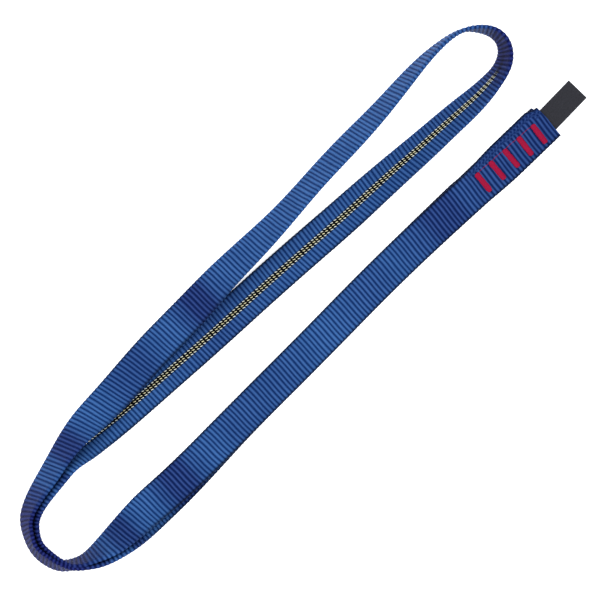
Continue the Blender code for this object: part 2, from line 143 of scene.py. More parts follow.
# %% The route: the doubled strap
# Along and across as shares of FOLD_TO_END and LAID_WIDTH, the outer and the inner layer's roll in degrees, the outer
# layer's slip to the side, and how far the inner one has climbed along it, as shares of the width.
PAIR_SHARES = (
    (0.69, -0.227, 180, 180, 0, 0), (0.62, -0.231, 180, 180, 0, 0), (0.55, -0.239, 180, 180, 0, 0),
    (0.48, -0.246, 180, 180, 0, 0), (0.41, -0.251, 180, 180, 0, 0), (0.34, -0.257, 180, 180, 0.02, 0),
    (0.27, -0.263, 180, 180, 0.07, 0), (0.215, -0.262, 178, 175, 0.11, 0), (0.17, -0.26, 169, 165, 0.12, 0),
    (0.132, -0.274, 153, 149, 0.09, 0), (0.097, -0.291, 135, 132, 0.04, 0), (0.067, -0.301, 116, 111, 0.01, 0),
    (0.038, -0.283, 92, 97, 0, 0), (0.018, -0.221, 78, 82, 0, 0), (0.009, -0.135, 75, 75, 0, 0.01),
    (0.009, -0.036, 77, 75, 0, 0.02), (0.017, 0.053, 75, 73, 0, 0.03), (0.029, 0.13, 72, 69, 0, 0.04),
    (0.047, 0.183, 68, 66, 0, 0.05), (0.072, 0.226, 63, 61, 0, 0.07), (0.1, 0.262, 58, 54, 0, 0.08),
    (0.12, 0.288, 56, 48, 0, 0.08),
)

# %% The route: the eye half
# Along and across as above, the roll in the running direction, and the height of the lower edge in layers: the outer
# strand, the eye from 0.935 and the tracer strand from 0.928 on.
EYE_HALF_SHARES = (
    (0.148, 0.337, 50, 0.65), (0.188, 0.374, 35, 0.4), (0.237, 0.392, 20, 0.35), (0.289, 0.411, 14, 0.35),
    (0.342, 0.428, 12, 0.35), (0.412, 0.437, 16, 0.3), (0.481, 0.444, 30, 0.1), (0.551, 0.438, 41, 0),
    (0.621, 0.433, 52, 0), (0.691, 0.45, 56, 0), (0.761, 0.465, 56, 0), (0.831, 0.47, 62, 0), (0.9, 0.484, 70, 0),
    (0.935, 0.483, 76, 0), (0.966, 0.47, 82, 0), (0.989, 0.45, 86, 0), (1.007, 0.417, 89, 0), (1.019, 0.362, 95, 0),
    (1.027, 0.305, 100, 0), (1.03, 0.248, 104, 0), (1.027, 0.198, 107, 0), (1.02, 0.162, 110, 0),
    (1.01, 0.137, 113, 0), (0.998, 0.122, 115, 0), (0.98, 0.118, 120, 0), (0.956, 0.122, 127, 0),
    (0.928, 0.134, 134, 0), (0.893, 0.147, 139, 0), (0.848, 0.16, 145, 0), (0.796, 0.177, 152, 0),
    (0.743, 0.193, 161, 0), (0.691, 0.205, 171, 0), (0.621, 0.221, 178, 0), (0.551, 0.235, 180, 0),
    (0.481, 0.245, 180, 0), (0.412, 0.254, 180, 0), (0.342, 0.267, 180, 0), (0.289, 0.277, 180, 0),
    (0.237, 0.288, 176, 0), (0.202, 0.295, 166, 0), (0.172, 0.296, 156, 0.15), (0.148, 0.29, 145, 0.35),
)

# %% Slack waves and what raises the strands in the lap
# Along as above, and each crest's and hollow's height in shares of the webbing's thickness.
SEWN_WAVE_SHARES = (
    (0.15, 0), (0.205, 0), (0.265, 0.6), (0.34, 0.25), (0.387, 0.45), (0.425, 0.4), (0.474, 0.6), (0.62, 0),
    (0.663, 0.3), (0.712, 0.05), (0.75, 0.25), (0.785, 0),
)
OUTER_WAVE_SHARES = (
    (0.12, 0), (0.185, 0.4), (0.262, 0), (0.342, 0.3), (0.405, 0.05), (0.475, 0.7), (0.62, 0.1), (0.7, 0),
)
BOTTOM_RISE = ((LAP_LENGTH, LAP_RAMP, LAP_LIFT),)
TOP_RISE = ((LAP_LENGTH, LAP_RAMP, LAP_LIFT + LAYER_PITCH), (LABEL_ROOT + LABEL_RAMP_CLEARANCE, LABEL_RAMP, LABEL_LIFT))

# %% [markdown]
# From the tables to one line, which a natural cubic spline draws without a kink. At each point the strip needs a
# frame: the way ahead, the way across the webbing, and the way out of its inner face, which carries the tracer. Any
# length of webbing is then cut from the strip by naming its start and end.

# %% Spline, soft steps and rows
ROW_STEP = 0.003
LINE_STEP = 0.0005


def spline_through(knots, values, at):
    """A natural cubic spline: third-degree pieces whose slope and curvature run on, with straight ends."""
    step = np.diff(knots)
    slope = np.diff(values, axis=0) / step[:, None]
    system = np.eye(len(knots))
    pull = np.zeros_like(values)
    for i in range(1, len(step)):
        system[i, i - 1 : i + 2] = step[i - 1], 2 * (step[i - 1] + step[i]), step[i]
        pull[i] = 6 * (slope[i] - slope[i - 1])
    bend = np.linalg.solve(system, pull)
    cell = np.clip(np.searchsorted(knots, at) - 1, 0, len(step) - 1)
    width = step[cell][:, None]
    left = (at - knots[cell])[:, None]
    right = width - left
    curved = (bend[cell] * right**3 + bend[cell + 1] * left**3) / (6 * width)
    before = (values[cell] / width - bend[cell] * width / 6) * right
    after = (values[cell + 1] / width - bend[cell + 1] * width / 6) * left
    return curved + before + after


def smooth(share):
    """The soft step 3t^2 - 2t^3, held at 0 before and at 1 after."""
    share = np.clip(share, 0, 1)
    return share * share * (3 - 2 * share)


def smooth_steps(table, at, column=1):
    """Passes from each row's value to the next on a soft step, level at every row. The rows' places come first."""
    knots, values = np.array(table)[:, [0, column]].T
    cell = np.clip(np.searchsorted(knots, at) - 1, 0, len(knots) - 2)
    share = (at - knots[cell]) / (knots[cell + 1] - knots[cell])
    return values[cell] + (values[cell + 1] - values[cell]) * smooth(share)


def unit(vectors):
    """The vectors at length one."""
    return vectors / np.linalg.norm(vectors, axis=-1, keepdims=True)


def run_lengths(points):
    """The length run along a line at each of its points."""
    return np.concatenate([[0], np.cumsum(np.linalg.norm(np.diff(points, axis=0), axis=1))])


def on_ground(along_share, across_share):
    """A plan place, from its shares of the sling's length and width."""
    return FOLD_X + along_share * FOLD_TO_END, (across_share - MIDDLE_SHARE) * LAID_WIDTH


def across_of(line, roll):
    """The way from the webbing's lower to its upper edge, cos(roll) * right + sin(roll) * up, and the ways ahead and
    to the right."""
    ahead = unit(np.gradient(line, axis=0))
    right = unit(np.cross(ahead, (0, 0, 1)))
    angle = np.radians(roll)[:, None]
    return np.cos(angle) * right + np.sin(angle) * np.cross(right, ahead), ahead, right


def pair_rows():
    """The doubled strap's two layers, each half a layer off one middle line. In the twist, where the inner one leans
    further out, their upper edges touch and their lower edges stand width * sin(difference) - gap apart."""
    lap_share = 1 - (LAP_LENGTH + 2 * LAYER_GAP) / FOLD_TO_END
    table = np.array(((lap_share, LAP_EDGE_SHARE, FLAT_DEG, FLAT_DEG, LAP_SLIP_SHARE, 0), *PAIR_SHARES))
    rows = np.column_stack([*on_ground(*table[:, :2].T), table[:, 2:]])
    knots = run_lengths(rows[:, :2])
    rows = spline_through(knots, rows, np.linspace(0, knots[-1], round(knots[-1] / ROW_STEP) + 1))
    outer_roll, inner_roll, slip = rows[:, 2], rows[:, 3], rows[:, 4] * WEBBING_WIDTH
    middle = np.column_stack([rows[:, :2], np.zeros_like(slip)])
    across, ahead, right = across_of(middle, (outer_roll + inner_roll) / 2)
    apart = np.cross(ahead, across) * LAYER_PITCH / 2
    middle[:, 2] = EDGE_RADIUS + np.abs(apart[:, 2])
    splay = np.maximum(WEBBING_WIDTH * np.sin(np.radians(inner_roll - outer_roll)) - LAYER_GAP, 0) / 2
    apart += right * splay[:, None]
    outer = middle - apart
    outer[:, 1] -= slip
    inner = middle + apart + across * rows[:, 5:] * WEBBING_WIDTH
    return np.column_stack([outer, outer_roll]), np.column_stack([inner, FLAT_DEG - inner_roll])[::-1]


def eye_half_rows():
    """The lower edge and the roll from the outer strand to the tracer strand."""
    along, across, roll, layers = np.array(EYE_HALF_SHARES).T
    return np.column_stack([*on_ground(along, across), EDGE_RADIUS + layers * LAYER_PITCH, roll])


# %% The strip's line with its frames
FOLD_SHARE = 0.074
EYE_SHARE = 0.905
STRANDS = (
    ("under", FOLD_SHARE, SEWN_WAVE_SHARES, BOTTOM_RISE),
    ("fold_outer", FOLD_SHARE, (), ()),
    ("outer", EYE_SHARE, OUTER_WAVE_SHARES, ()),
    ("eye", EYE_SHARE, (), ()),
    ("tracer", FOLD_SHARE, (), ()),
    ("fold_inner", FOLD_SHARE, (), ()),
    ("top", 2, SEWN_WAVE_SHARES, TOP_RISE),
)
SMOOTH_POINTS = 9
CUT_END_REACH = 0.0014


def lift(x, waves, rises):
    """How far a strand is raised at x: its slack waves, and what lies below it in the lap."""
    raised = smooth_steps(waves, (x - FOLD_X) / FOLD_TO_END) * WEBBING_THICKNESS if waves else x * 0
    return raised + sum(height * smooth((x - END_X + from_end + ramp) / ramp) for from_end, ramp, height in rises)


def strip_edge():
    """The strip's lower edge and roll from the lap to the cut end, and where each strand starts."""
    outer, inner = pair_rows()
    cut_x, cut_y = on_ground(1, CUT_END_SHARE)
    cut_end = np.array([(cut_x + CUT_END_REACH, cut_y, EDGE_RADIUS + LAYER_PITCH, 0)])
    rows = np.concatenate([outer, eye_half_rows(), inner, cut_end])
    knots = run_lengths(rows[:, :3])
    found = spline_through(knots, rows, np.arange(0, knots[-1], LINE_STEP))
    along_share = (found[:, 0] - FOLD_X) / FOLD_TO_END
    start = 0
    starts = {}
    for name, end_share, waves, rises in STRANDS:
        crossed = np.flatnonzero(np.diff(np.sign(along_share[start:] - end_share)))
        end = start + crossed[0] + 1 if len(crossed) else len(found)
        found[start:end, 2] += lift(found[start:end, 0], waves, rises)
        starts[name] = start
        start = end
    return found[:, :3], found[:, 3], starts


edge_line, edge_roll, strand_starts = strip_edge()
print("points along the strip:", len(edge_line))

# %% [markdown]
# Inside the lap the strip's other end turns back on itself at the sewn end. In this hairpin the webbing runs
# straight up, so its frames don't come from a roll but follow a half circle seen from the side. It goes in front of
# the rest, so that the strip starts at its hidden cut end.

# %% The hairpin in the lap, and all frames together
def lap_middle_y():
    """The middle of the top strand across, at its cut end."""
    return on_ground(1, CUT_END_SHARE)[1] - CORE_WIDTH / 2


def hairpin_line():
    """Middle points and ways across: along the middle layer, round a half circle at the sewn end, and back below."""
    radius = LAYER_PITCH / 2
    middle_z = LAP_LIFT + EDGE_RADIUS + radius
    turn_x = END_X - radius - EDGE_RADIUS
    straight = np.arange(END_X - LAP_LENGTH, turn_x, LINE_STEP)
    angle = np.arange(0, math.pi, LINE_STEP / radius)
    x = np.concatenate([straight, turn_x + radius * np.sin(angle), straight[::-1]])
    z = middle_z + radius * np.cos(np.concatenate([straight * 0, angle, straight * 0 + math.pi]))
    y = np.full(len(x), lap_middle_y() - LAP_SLIP_SHARE * WEBBING_WIDTH)
    return np.column_stack([x, y, z]), np.tile((0, -1, 0), (len(x), 1))


def moving_mean(values):
    """Each value's mean with its neighbours on a line, with the ends carried on."""
    padded = np.pad(values, ((SMOOTH_POINTS // 2,) * 2, (0, 0)), mode="edge")
    summed = np.cumsum(np.concatenate([np.zeros_like(padded[:1]), padded]), axis=0)
    return (summed[SMOOTH_POINTS:] - summed[:-SMOOTH_POINTS]) / SMOOTH_POINTS


def strip_frames():
    """The run length, a table of middle, ahead, across and the inner face's way out, and where the hairpin ends."""
    across, _, _ = across_of(edge_line, edge_roll)
    laid = edge_line + across * CORE_WIDTH / 2
    hairpin, hairpin_across = hairpin_line()
    middle = moving_mean(np.concatenate([hairpin, laid]))
    across = moving_mean(np.concatenate([hairpin_across, across]))
    ahead = unit(np.gradient(middle, axis=0))
    across = unit(across - (across * ahead).sum(axis=1, keepdims=True) * ahead)
    run = run_lengths(middle)
    table = np.column_stack([middle, ahead, across, np.cross(ahead, across)])
    return run - run[len(hairpin)], table, len(hairpin)


run, frame_table, laid_start = strip_frames()
print("laid-out run: %.3f m, with the tail in the lap: %.3f m" % (run[-1], run[-1] - run[0]))


def frames_at(place):
    """Middle, ahead, across and inner direction at any run lengths, read off the strip's table."""
    found = np.stack([np.interp(place, run, column) for column in frame_table.T], axis=-1)
    middle, *ways = np.split(found, 4, axis=-1)
    return middle, *(unit(way) for way in ways)


# %% [markdown]
# The ribs. Tubular nylon of this kind is woven on thick weft cords, 1.925 mm apart, which the fine warp yarns hide,
# so each cord shows as a rounded rib across the strap. Tension pulls the ribs aslant, into a flat S, or at the tracer
# into a chevron. So the surface's rows follow the ribs themselves: the first parameter counts ribs, the second goes
# round the flattened tube, and the run length is the rib's place plus its lean. A seam between two lengths of
# webbing then lies in a valley, where it can't be seen.

# %% The section of the tube
RIB_PITCH = 0.001925
RIB_HEIGHT = 0.00036
VALLEY_HALF_THICKNESS = 0.0007
EDGE_RIB_SHARE = 0.35
EDGE_POINTS = 5
EDGE_BULGE = 0.55
EDGE_PROUD = 0.00015
SELVEDGE_WIDTH = 0.0014


def tube_section(face_points):
    """Across places and heights once round a flat tube, with the way out of its surface there. The faces are
    straight and the edges half ellipses. The ring starts at the lower edge and goes over the inner face first."""
    radius = VALLEY_HALF_THICKNESS
    bulge = radius * EDGE_BULGE
    half_core = WEBBING_WIDTH / 2 + EDGE_PROUD - bulge - RIB_HEIGHT * EDGE_RIB_SHARE
    bend = np.linspace(0, math.pi / 2, EDGE_POINTS)
    normal = unit(np.column_stack([-np.cos(bend), EDGE_BULGE * np.sin(bend)]))
    edge = np.column_stack([-half_core - bulge * np.cos(bend), radius * np.sin(bend), normal])
    flat = np.linspace(-half_core, half_core, face_points)[1:-1, None] * (1, 0, 0, 0) + (0, radius, 0, 1)
    inner = np.concatenate([edge, flat, edge[::-1] * (-1, 1, -1, 1)])
    return np.concatenate([inner, inner[-2:0:-1] * (1, -1, 1, -1)]).T


# %% How the ribs lie
# Each row: the place as a share of the strip's run, how far the rib's upper edge is ahead of its middle, the depth
# of its S, and how far both its ends are ahead of its middle, in rib pitches.
RIB_LIE = (
    (0, 0.1, 0.05, 0), (0.1, -0.15, 0.05, 0), (0.18, 0.3, 0.05, 0), (0.24, 0.5, 0, 0), (0.28, 0.7, 0.04, 0),
    (0.315, 0.15, 0.05, 0), (0.345, 0.15, 0.05, 0), (0.38, 0.5, 0.05, 0), (0.44, 0.45, 0, 0), (0.5, -0.3, 0, 0),
    (0.55, -0.25, 0, -0.55), (0.61, -0.15, 0, -0.35), (0.66, -0.1, 0, -0.1), (0.72, -0.2, 0, 0),
    (0.77, 0.4, 0.03, 0), (0.82, 0.15, 0.08, 0), (0.87, -0.18, 0.05, 0), (0.94, -0.22, 0.06, 0), (1, -0.4, 0.08, 0),
)
CHEVRON_SOFTNESS = 0.15
# Each wave: its height, its turn a rib in radians, and where it starts.
SPACING_WAVES = ((0.05, 0.83, 0), (0.04, 2.31, 1))


def wander(table, rib):
    """The sum of height * sin(turn * rib + start)."""
    return sum(height * np.sin(turn * rib + start) for height, turn, start in table)


def rib_offset(rib, across_share):
    """How far ahead of its middle a rib's point lies, in metres: lean * c, minus depth * sin(pi c), plus chevron
    * |c| with a soft tip, plus slow waves that make the spacing uneven. c runs from -1 to 1 across."""
    lean, depth, chevron = (smooth_steps(RIB_LIE, rib * RIB_PITCH / run[-1], column) for column in (1, 2, 3))
    tip = np.sqrt(across_share**2 + CHEVRON_SOFTNESS**2) - CHEVRON_SOFTNESS
    bent = lean * across_share - depth * np.sin(math.pi * across_share) + chevron * tip
    return RIB_PITCH * (bent + wander(SPACING_WAVES, rib))


# %% [markdown]
# Where the strap is slack the weft cords stand a little apart and the ribs are narrower; where it is taut they close
# up.
# The same tables paint shade: where they are high, the ribs and the ground between them take a darker colour. That
# painted shade makes the dark and the bright bands along the sling, and the dark fold and far end of the eye, where the
# webbing turns from the light. The tables give the slack and the painted shade along each strand as shares of
# FOLD_TO_END, and the eye's along its own run.

# %% Where the strap is slack, and where shade is painted
SEWN_SLACK_AND_SHADE = (
    (0, 1), (0.045, 0.9), (0.07, 0.45), (0.09, 0.1), (0.108, 0.5), (0.13, 0.6), (0.145, 0.15), (0.16, 0),
    (0.185, 0), (0.205, 0.35), (0.22, 0.65), (0.25, 0.65), (0.27, 0.2), (0.29, 0.05), (0.32, 0.05), (0.345, 0.2),
    (0.45, 0.2), (0.49, 0.1), (0.52, 0), (0.555, 0), (0.59, 0.1), (0.63, 0.2), (0.66, 0.2), (0.69, 0.05),
    (0.72, 0.2), (0.745, 0.3), (0.775, 0.6), (0.81, 0.6), (0.835, 0.35), (0.86, 0.42), (0.93, 0.5), (1, 0.55),
)
OUTER_SLACK_AND_SHADE = (
    (0, 1), (0.035, 1), (0.07, 0.65), (0.092, 0.15), (0.118, 0.15), (0.138, 0.7), (0.16, 0.7), (0.185, 0.1),
    (0.21, 0), (0.24, 0.05), (0.27, 0.3), (0.32, 0.35), (0.35, 0.1), (0.39, 0.05), (0.41, 0.35), (0.43, 0.7),
    (0.452, 0.7), (0.475, 0.2), (0.5, 0.05), (0.6, 0), (0.85, 0), (0.95, 0.1),
)
EYE_SLACK_AND_SHADE = (
    (0, 0.1), (0.28, 0.1), (0.42, 0.4), (0.5, 0.95), (0.62, 1), (0.72, 0.75), (0.8, 0.45), (0.9, 0.25), (1, 0.2),
)
TRACER_SLACK_AND_SHADE = (
    (0, 1), (0.06, 0.8), (0.095, 0.1), (0.14, 0), (0.3, 0.05), (0.44, 0.3), (0.52, 0.1), (0.7, 0.1), (0.8, 0.15),
    (0.905, 0.2),
)
VALLEY_SHARPNESS = 0.75
SLACK_NARROWING = 0.5
# The crests narrowed further for the colour, so that the painted shade of the valleys spreads wider.
PAINTED_SHADE_NARROWING = 2.2


def plain_ribs(rib, across_share, slack_and_shade):
    """0 in the valley between two ribs and 1 on a rib: |sin(pi r)| to a power that grows with the slack."""
    return np.abs(np.sin(math.pi * rib)) ** (VALLEY_SHARPNESS + SLACK_NARROWING * slack_and_shade)


# %% [markdown]
# A mesh from arrays. The grid of points wraps round the tube, and a strip of faces closes each end. The rib count and
# the place across are kept as a UV map, so that the yarns can follow the strap, and the height of the rib as an
# attribute, so that shade can be painted into the valleys.

# %% Meshes from grids
def add_object(name, points, faces):
    """A mesh object from arrays of points and quads. A quad whose last two points are the same is a triangle."""
    mesh = bpy.data.meshes.new(name)
    corners = [face[:3] if face[2] == face[3] else face for face in faces.tolist()]
    mesh.from_pydata(points.reshape(-1, 3).tolist(), [], corners)
    mesh.polygons.foreach_set("use_smooth", np.ones(len(corners), bool))
    mesh.update()
    return new_object(name, mesh)


def tube_faces(rows, ring):
    """The quads of a grid that is closed round its second direction, and of its two ends."""
    i, j = np.meshgrid(np.arange(rows - 1), np.arange(ring), indexing="ij")
    k = (j + 1) % ring
    sides = np.stack([i * ring + j, (i + 1) * ring + j, (i + 1) * ring + k, i * ring + k], axis=-1).reshape(-1, 4)
    half = ring // 2
    a = np.arange(half)
    cap = np.stack([a, a + 1, ring - 1 - a, (ring - a) % ring], axis=-1)
    cap[0] = 0, 1, ring - 1, ring - 1
    cap[-1] = half - 1, half, half + 1, half + 1
    flipped = np.where(cap[:, 2:3] == cap[:, 3:], cap[:, [0, 2, 1, 1]], cap[:, ::-1])
    return np.concatenate([sides, cap, flipped + (rows - 1) * ring])


def many_tube_faces(count, rows, ring):
    """The faces of many equal tubes whose points follow one another."""
    return (tube_faces(rows, ring) + np.arange(count)[:, None, None] * rows * ring).reshape(-1, 4)


def set_uv(obj, name, u, v):
    """Writes u and v of every point into a UV map."""
    mesh = obj.data
    loops = np.empty(len(mesh.loops), np.int32)
    mesh.loops.foreach_get("vertex_index", loops)
    points = np.column_stack([u.ravel(), v.ravel()])[loops]
    mesh.uv_layers.new(name=name).data.foreach_set("uv", points.astype(np.float32).ravel())


def set_value(obj, name, values):
    """Writes one number a point into an attribute."""
    obj.data.attributes.new(name, "FLOAT", "POINT").data.foreach_set("value", values.astype(np.float32).ravel())


# %% The webbing's surface
ROWS_A_RIB = 10
FACE_POINTS = 20
# Where the strap lies flat, shade is painted along its selvedges. As it comes to stand on edge the painted shade
# fades, and it is gone when the upper edge has risen by this share of the width.
SELVEDGE_SHADE_FADES = 0.8
# The tracer's black ground fades out round its half width, over this share of it.
TRACER_HALF_WIDTH = 0.00175
TRACER_FADE = 0.24
# The tracer's drift across the tube: run as a share of the whole, and metres towards the upper edge.
TRACER_DRIFT = ((0, 0), (0.68, 0), (0.705, -0.0006), (0.72, -0.0017), (0.745, -0.002), (0.8, 0), (1, 0))
# In the two tight bends the ribs close over the tracer. It sinks between these shares of FOLD_TO_END: first at the
# eye, then at the fold.
TRACER_SINKS = ((0.955, 1.065), (0.06, 0.04))
SINK_DEPTH = 0.0006


def tracer_sunk(x):
    """0 where the tracer shows and 1 where the ribs have closed over it."""
    share = (x - FOLD_X) / FOLD_TO_END
    return np.maximum(*(smooth((share - start) / (end - start)) for start, end in TRACER_SINKS))


def tracer_drift(place):
    """How far the tracer lies from its face's middle: a tube isn't pressed flat at the same line throughout."""
    return smooth_steps(TRACER_DRIFT, place / run[-1])


def webbing(name, first_rib, last_rib, slack_and_shade_table, face_points=FACE_POINTS, ribs=plain_ribs, shape=None):
    """A length of webbing between two ribs. Each point is middle + across * a + inner * h, pushed out along the
    section's normal by the height of the rib, which fades towards the edges."""
    across, height, out_across, out_height = tube_section(face_points)
    rows = round((last_rib - first_rib) * ROWS_A_RIB) + 1
    rib = np.linspace(first_rib, last_rib, rows)[:, None] + across * 0
    across_share = across / across.max() + rib * 0
    place = np.clip(rib * RIB_PITCH + rib_offset(rib, across_share), run[0], run[-1])
    middle, _, way_across, way_inner = frames_at(place)
    own_share, along_share = (rib - first_rib) / (last_rib - first_rib), (middle[..., 0] - FOLD_X) / FOLD_TO_END
    slack_and_shade = smooth_steps(slack_and_shade_table, own_share if slack_and_shade_table is EYE_SLACK_AND_SHADE else along_share)
    crest = ribs(rib, across_share, slack_and_shade)
    edge = 1 - smooth((WEBBING_WIDTH / 2 - np.abs(across)) / SELVEDGE_WIDTH)
    push = RIB_HEIGHT * crest * (1 - (1 - EDGE_RIB_SHARE) * edge)
    a = across + out_across * push
    h = height + out_height * push
    if shape:
        a, h = shape(middle, a, h)
    obj = add_object(name, middle + way_across * a[..., None] + way_inner * h[..., None], tube_faces(*rib.shape))
    set_uv(obj, "weave", rib, a / WEBBING_WIDTH)
    # The rib height as the colour's mix: its valleys take painted shade.
    set_value(obj, "crest", crest**PAINTED_SHADE_NARROWING)
    # The slack and the painted shade, for the shader: where it is high the colour is painted darker.
    set_value(obj, "slack_and_shade", slack_and_shade)
    # Painted shade along the selvedges, fading as the strap comes to stand on edge.
    set_value(obj, "selvedge_shade", edge * (1 - smooth(np.abs(way_across[..., 2]) / SELVEDGE_SHADE_FADES)))
    aside = np.abs(across - tracer_drift(place)) / TRACER_HALF_WIDTH
    ground = (out_height > 0) * smooth((1 + TRACER_FADE / 2 - aside) / TRACER_FADE)
    set_value(obj, "tracer_ground", ground * (1 - tracer_sunk(middle[..., 0])))
    return obj


CUT_SEARCH_POINTS = 20


def rib_at(strand, share):
    """The whole number of the rib nearest to where a strand passes a place along, as a share of FOLD_TO_END."""
    start = max(0, laid_start + strand_starts[strand] - CUT_SEARCH_POINTS)
    x = FOLD_X + share * FOLD_TO_END
    crossed = np.flatnonzero(np.diff(np.sign(frame_table[start:, 0] - x)))
    return round(run[start + crossed[0]] / RIB_PITCH)


# %% [markdown]
# The bartacks decide how the webbing on the lap looks: each pulls the layers together, so the surface dips towards
# it, and along the upper edge the pull breaks up the ribs.

# %% The bartacks' places and the surface of the lap
TACK_DIP = 0.0003
TACK_REACH = 0.0017
# The band of broken ribs: where it begins and is full, across and in ribs before the end, how broken its ribs are,
# its stripes' width and sharpness, what the grooves between them leave, and what wanders.
BROKEN_BAND_START = -0.5
BROKEN_BAND_FULL = -0.66
BROKEN_RIBS_BEFORE_END = (24, 20)
BROKEN_SHARE = 0.85
BROKEN_STRIPE = 0.001
STRIPE_STEP = 3
GROOVE_FLOOR = 0.35
BAND_WAVES = ((0.07, 0.9, 0), (0.05, 2.3, 2))
STRIPE_WAVES = ((0.25, 0.7, 0), (0.15, 1.9, 0))
CORNER_LENGTH = 0.0052
CORNER_CUT = 0.0018
LAP_SPREAD = (0.15, 0.09)
SEAL_LENGTH = 0.0006
SEAL_THINNING = 0.45
end_rib = run[-1] / RIB_PITCH


def turned(x, y, degrees):
    """x and y turned about the origin: (cos * x - sin * y, sin * x + cos * y)."""
    angle = math.radians(degrees)
    return math.cos(angle) * x - math.sin(angle) * y, math.sin(angle) * x + math.cos(angle) * y


def tack_places():
    """The bartacks' middles in plan, from the first near the lap's start to the last near the sewn end."""
    index = np.arange(BARTACK_COUNT)[::-1]
    x = END_X - BARTACK_FROM_END - index * BARTACK_PITCH
    y = lap_middle_y() - BARTACK_ASIDE + math.tan(math.radians(BARTACK_ROW_YAW_DEG)) * index * BARTACK_PITCH
    return np.column_stack([x, y])


def broken_ribs(rib, across_share, slack_and_shade):
    """Plain ribs, but in a wandering band along the upper edge every other stripe is half a rib behind, and grooves
    part the stripes."""
    band_start = BROKEN_BAND_START + wander(BAND_WAVES, rib)
    inside = smooth((band_start - across_share) / (BROKEN_BAND_START - BROKEN_BAND_FULL))
    far, near = BROKEN_RIBS_BEFORE_END
    amount = BROKEN_SHARE * inside * smooth((far - (end_rib - rib)) / (far - near))
    stripe = across_share * WEBBING_WIDTH / 2 / BROKEN_STRIPE + wander(STRIPE_WAVES, rib)
    shift = (1 + np.tanh(STRIPE_STEP * np.sin(math.pi * stripe))) / 4
    groove = np.sqrt(np.abs(np.cos(math.pi * stripe)))
    broken = (GROOVE_FLOOR + (1 - GROOVE_FLOOR) * groove) * plain_ribs(rib + shift, 0, slack_and_shade)
    return plain_ribs(rib, across_share, slack_and_shade) * (1 - amount) + amount * broken


def lap_surface(middle, a, h):
    """The lap's top layer: pressed wider by the stitches, with a dip round each bartack, exp(-(distance / reach)^2),
    its upper corner at the sewn end cut back, and its cut end thin where the heat sealed it."""
    dip = np.zeros_like(h)
    y = middle[..., 1] - a
    for (tack_x, tack_y), lean_deg in zip(tack_places(), BARTACK_LEANS_DEG):
        aside, along = turned(middle[..., 0] - tack_x, y - tack_y, lean_deg)
        beyond = np.maximum(np.abs(along) - BARTACK_LENGTH / 2, 0)
        dip += np.exp(-((aside / TACK_REACH) ** 2) - (beyond / TACK_REACH) ** 2)
    to_end = END_X - middle[..., 0]
    corner = CORNER_CUT * smooth(1 - to_end / CORNER_LENGTH) * np.clip(-a / (WEBBING_WIDTH / 2), 0, 1)
    seal = 1 - SEAL_THINNING * smooth(1 - to_end / SEAL_LENGTH)
    spread = 1 + np.where(a < 0, *LAP_SPREAD) * smooth((LAP_LENGTH - to_end) / LAP_RAMP)
    return a * spread + corner, np.where(h < 0, (h + TACK_DIP * np.minimum(dip, 1)) * seal, h * seal)


print("bartacks at x, y in mm:", np.round(tack_places() * 1000, 1).tolist())

# %% [markdown]
# Cutting the strip into pieces. The fold's two layers bend when the sewn half swings, so each is a piece of its own.
# The rest rides on its own half.

# %% The pieces of the strip
FOLD_CUT_SHARE = 0.118
LAP_CUT_SHARE = 0.825
LAP_FACE_POINTS = 44
CUTS = (("under", FOLD_CUT_SHARE), ("outer", FOLD_CUT_SHARE), ("outer", EYE_SHARE), ("tracer", EYE_SHARE),
        ("tracer", FOLD_CUT_SHARE), ("top", FOLD_CUT_SHARE), ("top", LAP_CUT_SHARE))
# In the order in which the strip runs: each piece's name, its table of slack and painted shade, its body, where it
# rides on one alone, and the solid that it stands for.
WEBBING_PIECES = (
    ("lap_tail_webbing", SEWN_SLACK_AND_SHADE, "sewn_half", "lap_hairpin"),
    ("under_strand_webbing", SEWN_SLACK_AND_SHADE, "sewn_half", "under_strand"),
    ("outer_fold_webbing", OUTER_SLACK_AND_SHADE, None, "fold_outer_layer"),
    ("outer_strand_webbing", OUTER_SLACK_AND_SHADE, "eye_half", "outer_strand"),
    ("eye_webbing", EYE_SLACK_AND_SHADE, "eye_half", "eye_turn"),
    ("tracer_strand_webbing", TRACER_SLACK_AND_SHADE, "eye_half", "tracer_strand"),
    ("inner_fold_webbing", SEWN_SLACK_AND_SHADE, None, "fold_inner_layer"),
    ("top_strand_webbing", SEWN_SLACK_AND_SHADE, "sewn_half", "top_strand"),
    ("lap_top_webbing", SEWN_SLACK_AND_SHADE, "sewn_half", "top_strand"),
)
cut_ribs = [run[0] / RIB_PITCH, 0, *(rib_at(*cut) for cut in CUTS), end_rib]
spans = {}
strip = {}
for (name, slack_and_shade_table, _, _), *span in zip(WEBBING_PIECES, cut_ribs, cut_ribs[1:]):
    on_the_lap = (LAP_FACE_POINTS, broken_ribs, lap_surface) if name == "lap_top_webbing" else ()
    spans[name] = span
    strip[name] = webbing(name, *span, slack_and_shade_table, *on_the_lap)
    print(name, "%.0f mm" % (np.ptp(span) * RIB_PITCH * 1000), len(strip[name].data.polygons), "faces")

# %% [markdown]
# The tracer: three lines of pale yarn and two of black along the middle of the inner face. Where a yarn comes to the
# surface it floats over one rib and shows as a short dash. Each float is a small closed grain, and all grains are
# one array operation: a grain's points times its place's frame.

# %% Yarn floats
TRACER_LINE_GAP = 0.00113
# Each float's length, width and half height, and how far its middle lies below the ribs' crests.
PALE_FLOAT = ((0.00128, 0.00046, 0.0002), 0.00002)
BLACK_FLOAT = ((0.00105, 0.0005, 0.00016), 0.0001)
FLOAT_SLANT = 0.29
GRAIN_ROWS = 5
GRAIN_RING = 6
GRAIN_END = 0.35


